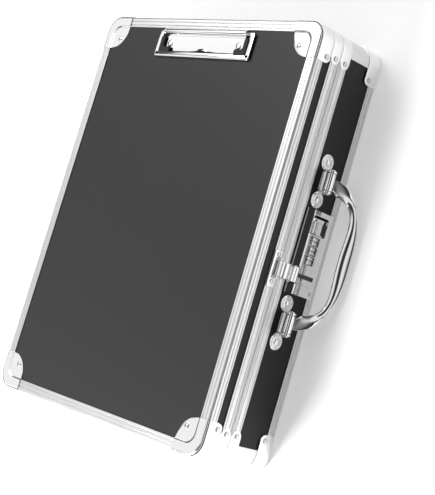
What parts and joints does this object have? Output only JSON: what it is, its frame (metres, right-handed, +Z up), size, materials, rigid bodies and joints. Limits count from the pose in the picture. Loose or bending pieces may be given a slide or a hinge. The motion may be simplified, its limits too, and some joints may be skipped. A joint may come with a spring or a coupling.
{
  "type": "attache case",
  "caption": "Hard case with black panels, aluminium edges, riveted corner caps, swinging handle, dial lock with hasp, hinged lid and paper clip on the lid.",
  "frame": {"origin": "middle of the case outline, on the plane that the base corner caps rest on, case lying flat on its back", "axes": "+X towards the lock and handle side, +Y towards the clip end, +Z up out of the lid"},
  "size_m": [0.3073, 0.3526, 0.0799],
  "materials": {
    "panel_black": "semi-matte black laminated board with a fine grain",
    "lid_panel_black": "semi-matte black laminated board with a fine grain",
    "side_board_black": "black laminated board",
    "aluminium_extrusion": "satin anodised with fine ribs along the length",
    "chrome_cap": "bright plated pressed steel",
    "chrome_bracket": "bright plated pressed steel",
    "chrome_hardware": "polished plated die casting",
    "rivet_steel": "plated",
    "hinge_steel": "plated, lightly brushed",
    "plain_steel": "zinc plated",
    "dial_metal": "plated with dark filled numbers",
    "rubber_grip": "matte",
    "lining_fabric": "thin black lining cloth"
  },
  "bodies": {
    "base": {"base_panel": "panel_black", "base_wall_lock": "side_board_black", "base_wall_hinge": "side_board_black", "base_wall_ends": "side_board_black", "base_edge_lock": "aluminium_extrusion", "base_edge_hinge": "aluminium_extrusion", "base_edge_ends": "aluminium_extrusion", "base_rim_lock": "aluminium_extrusion", "base_rim_hinge": "aluminium_extrusion", "base_rim_ends": "aluminium_extrusion", "base_corner_posts": "aluminium_extrusion", "base_corner_caps": "chrome_cap", "base_rim_brackets": "chrome_bracket", "base_rivets": "rivet_steel", "base_lining": "lining_fabric", "hinge_leaf_base": "hinge_steel", "hinge_pin": "plain_steel", "hinge_rivets_base": "rivet_steel", "handle_brackets": "chrome_hardware", "handle_bracket_rivets": "rivet_steel", "handle_pins": "plain_steel", "lock_body": "chrome_hardware", "lock_backplate": "plain_steel", "lock_end_cover": "chrome_hardware", "lock_screws": "plain_steel", "slider_spring": "plain_steel", "dial_shaft": "plain_steel"},
    "lid": {"lid_panel": "lid_panel_black", "lid_wall_lock": "side_board_black", "lid_wall_hinge": "side_board_black", "lid_wall_ends": "side_board_black", "lid_edge_lock": "aluminium_extrusion", "lid_edge_hinge": "aluminium_extrusion", "lid_edge_ends": "aluminium_extrusion", "lid_rim_lock": "aluminium_extrusion", "lid_rim_hinge": "aluminium_extrusion", "lid_rim_ends": "aluminium_extrusion", "lid_corner_posts": "aluminium_extrusion", "lid_corner_caps": "chrome_cap", "lid_rim_brackets": "chrome_bracket", "lid_rivets": "rivet_steel", "lid_lining": "lining_fabric", "hinge_leaf_lid": "hinge_steel", "hinge_rivets_lid": "rivet_steel", "hasp_plate": "chrome_hardware", "hasp_pin": "plain_steel", "hasp_rivets": "rivet_steel", "clip_base": "chrome_hardware", "clip_pin": "plain_steel", "clip_spring": "plain_steel", "clip_rivets": "rivet_steel"},
    "handle": {"handle": "chrome_hardware"},
    "slide_button": {"lock_slider": "chrome_hardware", "lock_bolt": "plain_steel"},
    "dial_1": {"dial_1": "dial_metal"},
    "dial_2": {"dial_2": "dial_metal"},
    "dial_3": {"dial_3": "dial_metal"},
    "hasp_flap": {"hasp_flap": "chrome_hardware"},
    "clip_jaw": {"clip_jaw": "chrome_hardware", "clip_grips": "rubber_grip"}
  },
  "joints": [
    {"name": "lid_hinge", "type": "hinge", "parent": "base", "child": "lid", "pos_m": [-0.13865, 0, 0.0487], "axis": [0, -1, 0], "range_deg": [0, 180]},
    {"name": "handle_swing", "type": "hinge", "parent": "base", "child": "handle", "pos_m": [0.144, 0, 0.03], "axis": [0, -1, 0], "range_deg": [-36, 137]},
    {"name": "slide_button_travel", "type": "slide", "parent": "base", "child": "slide_button", "axis": [0, 1, 0], "range_m": [0, 0.004], "stiffness_N_per_m": 400, "springref_m": -0.003, "deforming": ["slider_spring"]},
    {"name": "dial_1_turn", "type": "hinge", "parent": "base", "child": "dial_1", "pos_m": [0.1356, 0.00995, 0.0245], "axis": [0, 1, 0], "continuous": true},
    {"name": "dial_2_turn", "type": "hinge", "parent": "base", "child": "dial_2", "pos_m": [0.1356, 0.0023, 0.0245], "axis": [0, 1, 0], "continuous": true},
    {"name": "dial_3_turn", "type": "hinge", "parent": "base", "child": "dial_3", "pos_m": [0.1356, -0.00535, 0.0245], "axis": [0, 1, 0], "continuous": true},
    {"name": "hasp_swing", "type": "hinge", "parent": "lid", "child": "hasp_flap", "pos_m": [0.139, -0.019, 0.053], "axis": [0, -1, 0], "range_deg": [0, 150]},
    {"name": "clip_jaw_lift", "type": "hinge", "parent": "lid", "child": "clip_jaw", "pos_m": [0.0023, 0.161, 0.0771], "axis": [-1, 0, 0], "range_deg": [0, 35], "stiffness_Nm_per_rad": 0.3, "springref_deg": -34.38, "deforming": ["clip_spring"]}
  ]
}
